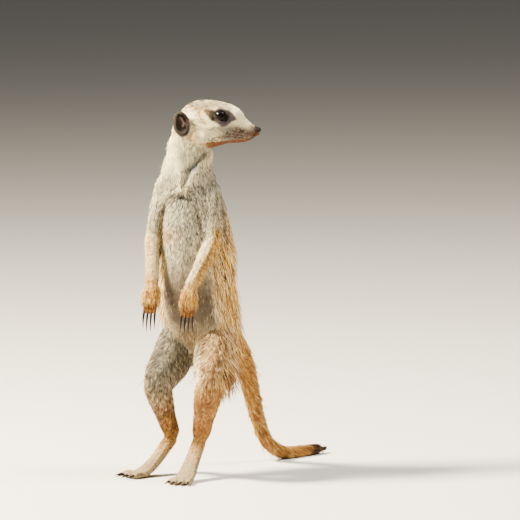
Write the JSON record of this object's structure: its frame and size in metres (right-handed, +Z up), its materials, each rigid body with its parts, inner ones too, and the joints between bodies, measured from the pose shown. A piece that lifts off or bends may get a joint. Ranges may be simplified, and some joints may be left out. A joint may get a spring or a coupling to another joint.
{
  "type": "meerkat figure",
  "caption": "Life-size still model of an adult meerkat standing upright on watch, arms hanging, head turned in profile, tail as a prop.",
  "frame": {"origin": "on the ground, under the middle of the animal's bounding box", "axes": "+X the way the head looks, -Y the side the chest is turned to, +Z up"},
  "size_m": [0.1732, 0.1912, 0.3043],
  "materials": {
    "coat_pale": "short soft fur",
    "coat_tan": "coarse grizzled fur",
    "coat_dark": "very short dark fur",
    "nose": "moist bare skin",
    "eye": "wet and glossy",
    "claw": "worn horn"
  },
  "bodies": {
    "root": {"trunk_hips": "coat_tan", "trunk_belly": "coat_pale", "trunk_chest": "coat_pale", "head": "coat_pale", "jaw": "coat_pale", "nose": "nose", "eye_left": "eye", "ear_left": "coat_dark", "eye_right": "eye", "ear_right": "coat_dark", "neck": "coat_pale", "arm_upper_left": "coat_pale", "arm_fore_left": "coat_tan", "hand_left": "coat_tan", "foreclaw_left_1": "claw", "foreclaw_left_2": "claw", "foreclaw_left_3": "claw", "foreclaw_left_4": "claw", "leg_thigh_left": "coat_tan", "leg_shin_left": "coat_tan", "foot_left": "coat_pale", "hindclaw_left_1": "claw", "hindclaw_left_2": "claw", "hindclaw_left_3": "claw", "hindclaw_left_4": "claw", "arm_upper_right": "coat_pale", "arm_fore_right": "coat_tan", "hand_right": "coat_tan", "foreclaw_right_1": "claw", "foreclaw_right_2": "claw", "foreclaw_right_3": "claw", "foreclaw_right_4": "claw", "leg_thigh_right": "coat_tan", "leg_shin_right": "coat_tan", "foot_right": "coat_pale", "hindclaw_right_1": "claw", "hindclaw_right_2": "claw", "hindclaw_right_3": "claw", "hindclaw_right_4": "claw", "tail_root": "coat_tan", "tail_middle": "coat_tan", "tail_tip": "coat_dark"}
  },
  "joints": []
}
